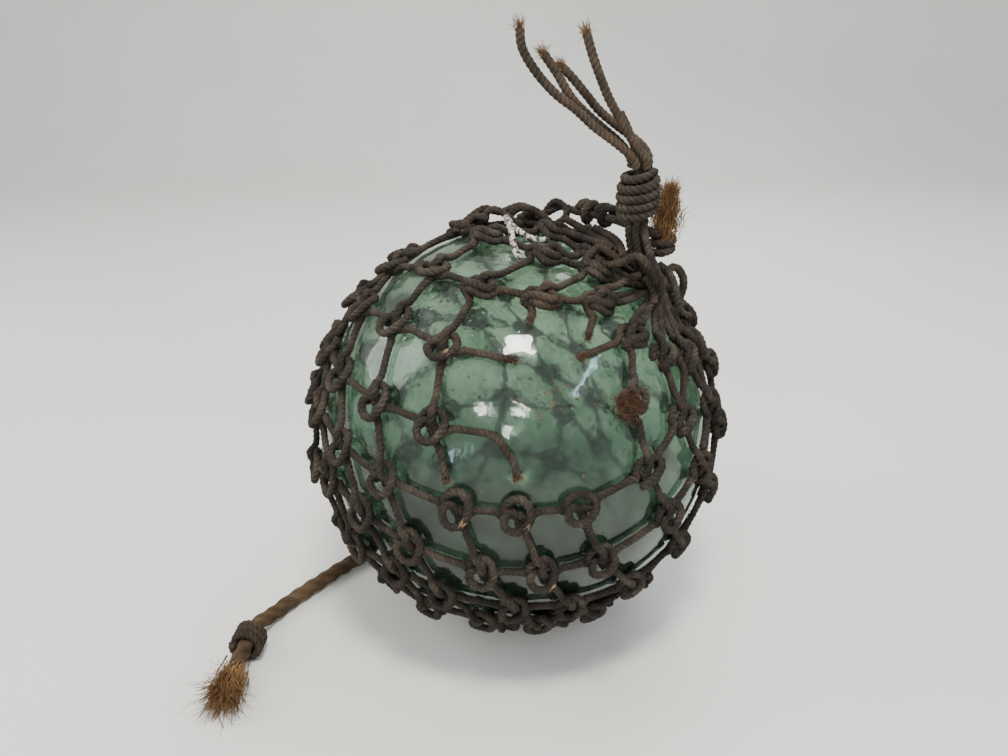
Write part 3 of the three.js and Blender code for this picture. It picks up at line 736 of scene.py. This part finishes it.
# Cords that run from the neck down on to the net, and those drawn across its foot
NECK_ROUTES = [
    [(37.1, 14, 321), (47.7, -4, 318.8), (59.8, -22, 315.7), (69, -40, 313.2)],
    [(22.9, 8, 318), (35.7, -2, 315.5), (50.3, -18, 314.9), (66.2, -40, 314.6)],
    [(55.4, -14, 321.9), (66.2, -26, 319), (71.2, -38, 316.1), (72.3, -50, 311.9)],
    [(44.7, -47, 304.6), (52, -39, 311.3), (57.4, -38.3, 314.8), (64.3, -46.1, 312.2), (72.2, -48, 306.4)],
    [(85.6, -48, 336.2), (85.1, -51, 329.3), (87.5, -55, 320.7), (90.5, -60, 311.5), (96, -60, 300),
     (99, -56, 289)],
    [(56, -39.4, 305.1), (62.1, -47.4, 304.7), (70.1, -56, 309.3), (78.4, -66, 316.7), (84.2, -69, 313.9),
     (88.3, -68, 307.1), (93, -60, 297)],
    [(53.7, -65.3, 292.9), (65.9, -60.1, 293), (75.1, -56, 297), (84, -52, 299)],
    [(87.2, -54, 298), (92.8, -54, 290), (93.9, -58, 281)],
    [(98, -44, 304), (106, -42, 297), (111, -43, 286), (113, -46, 276)],
]

# Two short lengths that are splashed with white
SPLASHED_ROUTES = [
    [(-7.4, 10, 323.5), (-4.6, -4, 323), (-3.9, -18, 321.5), (-2.5, -30, 316), (-0.5, -40, 312),
     (2.1, -46.5, 309.4)],
    [(-6.6, 4, 321.5), (-2, -10, 321.5), (3.5, -21, 319.8), (12.9, -27.2, 317), (22.2, -25.1, 316)],
]
# The drawn cord that runs from the neck along the crest, and the cord that bulges out at its foot
DRAWN_ROUTE = [
    (68, -18, 329), (60, 4, 326), (46, 20, 325), (34, 28, 327), (20, 30, 321), (4, 31, 327), (-12, 31, 322),
    (-24, 30, 325), (-38, 27, 316), (-46, 22, 309),
]
BULGE_ROUTE = [(92, -40, 288), (99, -38, 293), (110, -37, 300), (117, -36, 292), (117, -36, 281), (112, -37, 269)]


def places(route):
    return [place(*spot) for spot in route]


def build_neck():
    """The gathered cords, the loops and cords round the neck's foot, and the crown."""
    neck = Piece()
    thin = 0.92 * CORD_RADIUS
    line, along = spline(NECK_PATH, 3)
    _, across, other = frames(line, (1, 0, 0))
    for k in range(6):
        angle = k * math.pi / 3 + 0.7 * along / along[-1]
        offset = 5.6 * (np.cos(angle)[:, None] * across + np.sin(angle)[:, None] * other)
        neck.sweep((line + offset)[::3], thin, wear=0.1, normal=(1, 0, 0))
    neck.sweep(NECK_PATH, CORD_RADIUS, wear=0.1, normal=(1, 0, 0))
    neck.sweep([NECK_TOP + np.array([-3, 4, -39.8]), *places(DRAWN_ROUTE)], thin, wear=0.1)
    for route in CREST_LOOPS + NECK_ROUTES:
        neck.sweep(places(route), thin, wear=0.15)
    # The knot in the drawn cord: two fat turns round it
    for centre, way, size in ((place(65, -4, 328), (-0.5, 1, 0), 6.2), (place(53, 12, 327), (-1, 0.9, 0), 6.6)):
        way = unit(np.array(way, float))
        level = unit(np.cross(way, (0, 0, 1)))
        loop = [
            centre + size * (math.cos(t) * level + math.sin(t) * np.array([0, 0, 1])) + way * (t - 4.5) * 1.1
            for t in np.linspace(0, 9, 26)
        ]
        neck.sweep(loop, CORD_RADIUS * 0.95, wear=0.1, normal=way)
    neck.sweep(places(BULGE_ROUTE), CORD_RADIUS)
    # The short cord end that rises from the whipping
    rising = [NECK_TOP + np.array(spot) for spot in ((-3, 14, 13), (-8, 17, 24), (-13, 18, 33))]
    neck.sweep([tail_seat(1, -2), tail_seat(1, 3.9), *rising], CORD_RADIUS, wear=0.3)
    # The crown ring on the far side, and the knob that fills it
    tangent, across = tangents_at(-AXIS)
    ring = [
        BALL - AXIS * (SEAT + 6) + 15.5 * (math.cos(t) * tangent + math.sin(t) * across) - AXIS * 0.4 * t
        for t in np.linspace(0, 13, 40)
    ]
    neck.sweep(ring, CORD_RADIUS, normal=AXIS)
    knob = [BALL - AXIS * (SEAT + h) + w * across for h, w in ((2, -9), (5, -4), (7.5, 2), (5, 8))]
    neck.sweep(knob, 6, normal=-AXIS)
    neck.make("neck_and_loops", TARRED, "tarred_cord", ["netting"])


def build_splashes():
    splashed = Piece()
    for route in SPLASHED_ROUTES:
        splashed.sweep(places(route), 0.75 * CORD_RADIUS, wear=0.0)
    splashed.make("splashed_cord", SPLASHED, "tarred_cord", ["netting"])


def build_whipping():
    """Turns round the neck that slant, bulge in the middle and close in at the top."""
    whipping = Piece()
    turns_count, pitch = 4.6, 6.0
    rise = turns_count * pitch
    foot = NECK_TOP - np.array([0, 0, CORD_RADIUS + 27])

    def core(height):
        swell = 0.95 + 0.12 * math.sin(0.1 * height) - 0.36 * (height / rise) ** 6
        return foot + np.array([0, 0, height]), swell * np.array([1.0, 0, 0.13]), swell * np.array([0, 1.0, 0.12])

    turns = helix(core, 11.5, turns_count, pitch, start=2.4)
    tucked = [turns[0] + np.array([4, -2, -1]), *turns, turns[-1] + np.array([3, 4, -1])]
    whipping.sweep(tucked, CORD_RADIUS, wear=0.15)
    whipping.make("whipping_turns", TAIL, "tarred_cord", ["neck_whipping"])


def tail_seat(seat, above):
    """One of the five seats round the top of the whipping, where a cord rises."""
    turn = (0.25 + seat) * 2 * math.pi / 5
    reach = (CORD_RADIUS + 0.21) / math.sin(math.pi / 5)
    return NECK_TOP + np.array([reach * math.cos(turn), reach * math.sin(turn), above])


# Each tail's seat and its way on, from the neck's top
TAILS = {
    "tail_long_front": (3, [(-6.5, -5, 8.5), (-12, -5, 13), (-20, -5, 19), (-32, -5, 27.5), (-44, -5, 38),
                            (-57, -5, 47.5), (-69, -5, 60), (-78, -5, 74), (-80, -5, 86)]),
    "tail_upright": (4, [(2, -5, 8), (-4, -5, 15), (-11, -5, 25), (-18, -6, 36), (-24, -7, 46), (-30, -8, 59),
                         (-35, -9, 71), (-39, -9, 83)]),
    "tail_curled_back": (0, [(5, 2, 8), (1, 2.5, 14), (-8, 4, 21), (-18, 6, 28), (-28, 7, 36), (-36, 8, 45),
                             (-44, 9, 54), (-52, 10, 62)]),
    "tail_short_back": (2, [(-8, 2.6, 9), (-14, 2.6, 16), (-25, 2.6, 25), (-36, 2.6, 34), (-47, 2.6, 45),
                            (-56, 3, 59), (-64, 4, 70)]),
}


def build_tails():
    for name, (seat, way) in TAILS.items():
        points = [tail_seat(seat, 0.3), tail_seat(seat, 3.9)] + [NECK_TOP + np.array(p) for p in way]
        tail = Piece()
        line = tail.sweep(points, CORD_RADIUS, normal=(1, 0, 0), wear=0.35, step=1.7)
        piece = tail.make(name + "_cord", TAIL, "tarred_cord", [name])
        tip = Piece()
        tip.fibres(line[-1], line[-1] - line[-4], 90, 9, 0.28, scatter=2.6)
        fray = tip.make(name + "_fray", FRAYED, "frayed_fibre")


STUB_FOOT = NECK_FOOT + np.array([2.4, 15.6, 18.4])
STUB_HEADING = unit(np.array([0.09, 0.06, 1]))
LASHED_RADIUS = 0.55 * ROPE_RADIUS


def on_stub(distance):
    return STUB_FOOT + STUB_HEADING * distance


def build_stub():
    """The thick rope's frayed end beside the neck, and the cord lashed round it."""
    stub = Piece()
    stub.sweep([on_stub(0), on_stub(9), on_stub(18)], LASHED_RADIUS, normal=(1, 0, 0), lay=40, wear=0.6)
    stub.fibres(on_stub(16), STUB_HEADING, 90, 35, 0.04, width=0.9, scatter=3.6, curl=0.05, wear=0.4)
    # Short fibres all the way up, widest in the tuft's lower third
    tuft_widths = (6, 8, 9, 9, 8.6, 8, 7.4, 6.6, 6, 5, 4)
    for distance, scatter in zip(np.linspace(14, 43, len(tuft_widths)), tuft_widths):
        stub.fibres(on_stub(distance), STUB_HEADING, 150, 10, 0.3, width=0.34, scatter=scatter, curl=0.2, wear=0.2)
    stub.make("rope_stub_tuft", FRAYED, "frayed_fibre", ["rope_stub"])

    def core(distance):
        return on_stub(distance + 3.4), np.array([1.0, 0, 0]), np.array([0, 1.0, 0])

    # The lashing's two turns, and its end that reaches over to the neck
    turns = helix(core, LASHED_RADIUS + 3.5, 2.1, 6.3, start=3.4)
    end = [on_stub(17.5) + np.array([-7, -5, 0.5]), on_stub(18.5) + np.array([-13, -8, 2])]
    lashing = Piece()
    lashing.sweep(turns + end, CORD_RADIUS, wear=0.3)
    lashing.make("lashing_turns", TAIL, "tarred_cord", ["stub_lashing"])


# Heights of the lanyard's middle where it lies, and where its binding holds it up
LYING = ROPE_RADIUS + 0.15
BOUND = (ROPE_RADIUS + 0.3) / math.cos(math.pi / 12) + 2 * CORD_RADIUS
CROWN_TOP = BALL - AXIS * (BALL_RADIUS + 9.05)


def build_lanyard():
    """The rope from the crown to its frayed end on the surface, and its binding."""
    lanyard = Piece()
    points = [
        CROWN_TOP, CROWN_TOP - AXIS * 14, place(-115, 47, 14.5), place(-125, 41.5, 9), place(-134, 33, LYING + 0.2),
        place(-143, 24, LYING), place(-156, 9, LYING), place(-166, -4, LYING), place(-175, -15, LYING),
        place(-189, -34, LYING), place(-198, -49, LYING + 0.5), place(-203.5, -60, BOUND - 4),
        place(-206.4, -71, BOUND - 0.4), place(-207.2, -80, BOUND), place(-208.6, -98, BOUND),
        place(-209.3, -107, BOUND), place(-210.5, -118, BOUND - 2.4), place(-211.3, -126, ROPE_RADIUS + 2.6),
    ]
    line = lanyard.sweep(points, ROPE_RADIUS, lay=ROPE_LAY, wear=0.4, step=1.3, squash=settle)
    piece = lanyard.make("lanyard_rope", ROPE, "brown_rope", ["lanyard"])
    fray = Piece()
    heading = unit(line[-1] - line[-6]) * np.array([1, 1, 0]) + np.array([0, 0, -0.05])
    fray.fibres(line[-3], heading, 130, 36, 0.12, width=0.9, scatter=8, curl=0.14, wear=0.3)
    fray.fibres(line[-3], heading, 520, 42, 0.17, width=0.38, scatter=8, curl=0.2, wear=0.3)
    frayed_end = fray.make("lanyard_fray", FRAYED, "frayed_fibre")
    binding = Piece()
    start, end = place(-207.2, -80, BOUND), place(-208.6, -98, BOUND)
    way = unit(end - start)
    level = unit(np.cross(way, (0, 0, 1)))

    def core(distance):
        return (start + end) / 2 + way * (distance - 9), level, np.cross(level, way)

    binding.sweep(helix(core, ROPE_RADIUS + 3.4, 3, 6.0, start=0.4), CORD_RADIUS, squash=settle)
    bound = binding.make("binding_turns", TAIL, "tarred_cord", ["lanyard_binding"])


def build_glass():
    """The ball's shell, with an uneven inside, and the crusts that cling to it."""
    segments, rings_count = 160, 80
    glass = bpy.data.meshes.new("glass_shell")
    points, faces = [], []
    for radius, outward in ((BALL_RADIUS, True), (BALL_RADIUS - WALL, False)):
        base = len(points)
        for ring in range(rings_count + 1):
            # The rings stop just short of the poles, so that their quads have four corners
            polar = math.pi * min(max(ring / rings_count, 0.0002), 0.9998)
            for k in range(segments):
                turn = 2 * math.pi * k / segments
                x, y, z = math.sin(polar) * math.cos(turn), math.sin(polar) * math.sin(turn), math.cos(polar)
                waves = 1.1 * math.sin(3.1 * x + 2 * z) + 0.8 * math.sin(4.3 * y - 2.6 * x)
                points.append((BALL + np.array([x, y, z]) * (radius + (0 if outward else waves))) * MM)
        for ring in range(rings_count):
            row = base + ring * segments
            for k in range(segments):
                first, second = row + k, row + (k + 1) % segments
                quad = (first, first + segments, second + segments, second)
                faces.append(quad if outward else quad[::-1])
    glass.from_pydata([tuple(p) for p in points], [], faces)
    glass.polygons.foreach_set("use_smooth", np.ones(len(faces), bool))
    glass.materials.append(GLASS)
    shell = add("glass_shell", glass)
    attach(shell, "root")
    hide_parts("glass_ball")

    grime = Piece()
    for _ in range(260):
        direction = unit(rng.normal(0, 1, 3))
        grime.speck(direction, rng.uniform(0.35, 1.5))
    grime.make("grime_specks", GRIME, "frayed_fibre")
    residue = Piece()
    for _ in range(40):
        direction = unit(TORN_PLACE + rng.normal(0, 0.07, 3) + np.array([0.02, 0, -0.14]))
        residue.speck(direction, rng.uniform(0.3, 1.5))
    residue.make("residue_specks", RESIDUE, "frayed_fibre")


def build_floor():
    """A pale floor that bends up into a back wall."""
    mesh = bpy.data.meshes.new("floor")
    reach, depth, rise, bend = 4.0, 1.6, 3.0, 0.6
    profile = [(-3.0, 0.0), (depth, 0.0)]
    profile += [(depth + bend * math.sin(t), bend * (1 - math.cos(t))) for t in np.linspace(0.1, math.pi / 2, 12)]
    profile.append((depth + bend, rise))
    points = [(x, y, z) for y, z in profile for x in (-reach, reach)]
    faces = [(2 * k, 2 * k + 1, 2 * k + 3, 2 * k + 2) for k in range(len(profile) - 1)]
    mesh.from_pydata(points, [], faces)
    mesh.polygons.foreach_set("use_smooth", np.ones(len(faces), bool))
    shader = Shader("pale floor", 0.6)
    tone = shader.ramp(shader.noise(3, 3), [(0.3, [0.74, 0.735, 0.69, 1]), (0.7, [0.78, 0.775, 0.73, 1])])
    shader.link(tone, shader.principled.inputs["Base Color"])
    mesh.materials.append(shader.material)
    floor = add("floor", mesh)


UPRIGHT, STRIP_WAY = (0, 0, 1), (-0.27, -0.84, -0.29)
WARM, PLAIN, BLUE = (1, 0.96, 0.9), (1, 1, 1), (0.6, 0.84, 1)
# Each lamp's place in metres, size across and along, the way it is long, power and colour. The small ones give the
# glass its highlights, about where the photograph has them
LAMPS = (
    ("overhead", (0.04, -0.67, 1.77), (0.4, 0.3), UPRIGHT, 30, WARM),
    ("front_left", (-0.56, -1.37, 1.09), (0.16, 0.1), UPRIGHT, 2.2, WARM),
    ("front_middle", (0.09, -1.47, 1.11), (0.2, 0.14), UPRIGHT, 3.6, WARM),
    ("front_low", (-0.13, -1.61, 0.84), (0.14, 0.12), UPRIGHT, 1.6, WARM),
    ("low_left", (-0.97, -1.45, 0.3), (0.12, 0.2), UPRIGHT, 0.8, BLUE),
    ("strip", (1.02, -0.74, 1.27), (0.07, 0.9), STRIP_WAY, 3.4, BLUE),
    ("left", (-1.5, 0.1, 1.0), (1.0, 1.0), UPRIGHT, 14, PLAIN),
    ("back", (0.5, 1.2, 1.3), (1.0, 1.0), UPRIGHT, 16, PLAIN),
)


def build_light():
    for name, spot, (width, height), along, power, colour in LAMPS:
        lamp = add(name, bpy.data.lights.new(name, "AREA"))
        lamp.data.shape = "RECTANGLE"
        lamp.data.energy = power
        lamp.data.size, lamp.data.size_y = width, height
        lamp.data.color = colour
        lamp.location = spot
        # A lamp shines against its own third axis, here at the ball's middle
        back = unit(np.array(spot) - np.array([0, 0, 0.16]))
        tall = unit(np.array(along) - back * (back @ np.array(along)))
        lamp.rotation_euler = Matrix(np.column_stack([np.cross(tall, back), tall, back]).tolist()).to_euler()
    world = bpy.data.worlds.new("studio")
    world.use_nodes = True
    world.node_tree.nodes["Background"].inputs["Color"].default_value = (0.85, 0.88, 0.92, 1)
    world.node_tree.nodes["Background"].inputs["Strength"].default_value = 0.8
    bpy.context.scene.world = world


build_tails()
build_lanyard()
build_glass()
build_net()
build_neck()
build_splashes()
build_whipping()
build_stub()
build_floor()
build_light()
